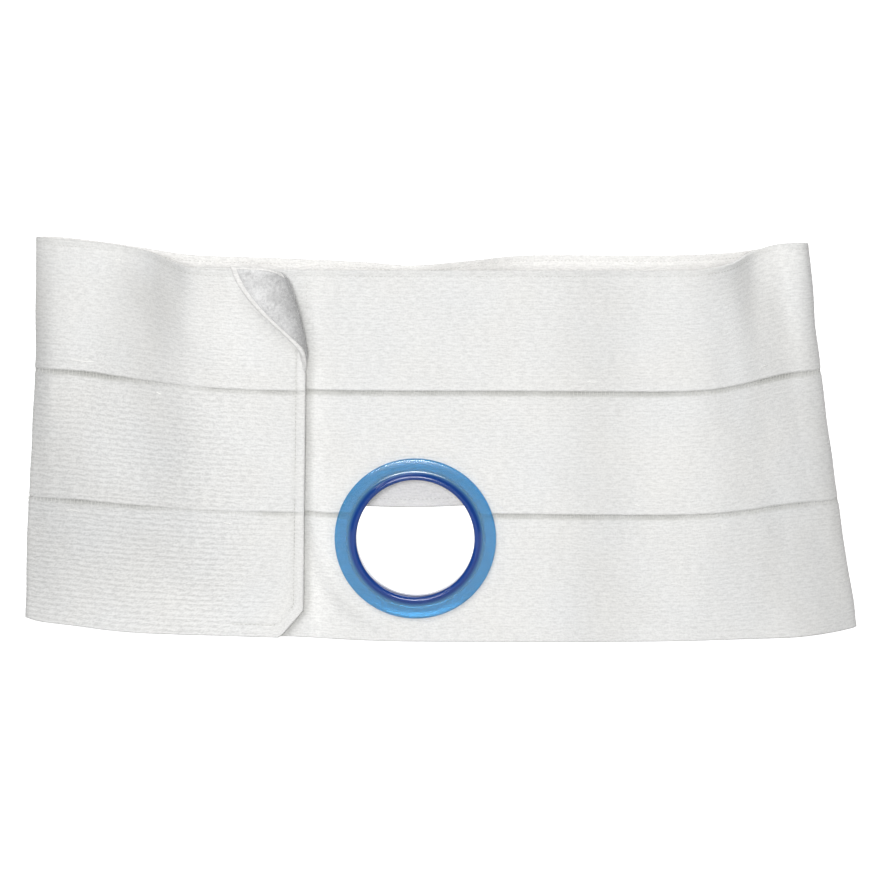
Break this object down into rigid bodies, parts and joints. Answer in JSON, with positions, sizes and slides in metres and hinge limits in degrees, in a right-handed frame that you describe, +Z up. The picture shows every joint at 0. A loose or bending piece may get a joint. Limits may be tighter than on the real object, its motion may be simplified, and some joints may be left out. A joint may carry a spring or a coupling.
{
  "type": "ostomy support belt",
  "caption": "Wide elastic abdominal belt standing as a closed loop, sewn bands, front flap with hook pad and a clear blue ring round the pouch opening.",
  "frame": {"origin": "on the surface the loop stands on, under the middle of its box", "axes": "+X to the right of the front as seen, +Y from the front to the back, +Z up, with the ring's hole facing -Y"},
  "size_m": [0.5208, 0.1064, 0.2371],
  "materials": {
    "elastic": "off-white ribbed knitted elastic",
    "hook_tape": "grey hook tape, fuzzy",
    "ring_vinyl": "see-through blue moulded vinyl"
  },
  "bodies": {
    "root": {"top_band": "elastic", "middle_band": "elastic", "bottom_band_front": "elastic", "bottom_band_flap": "elastic", "hook_pad": "hook_tape", "belt_ring": "ring_vinyl"}
  },
  "joints": []
}
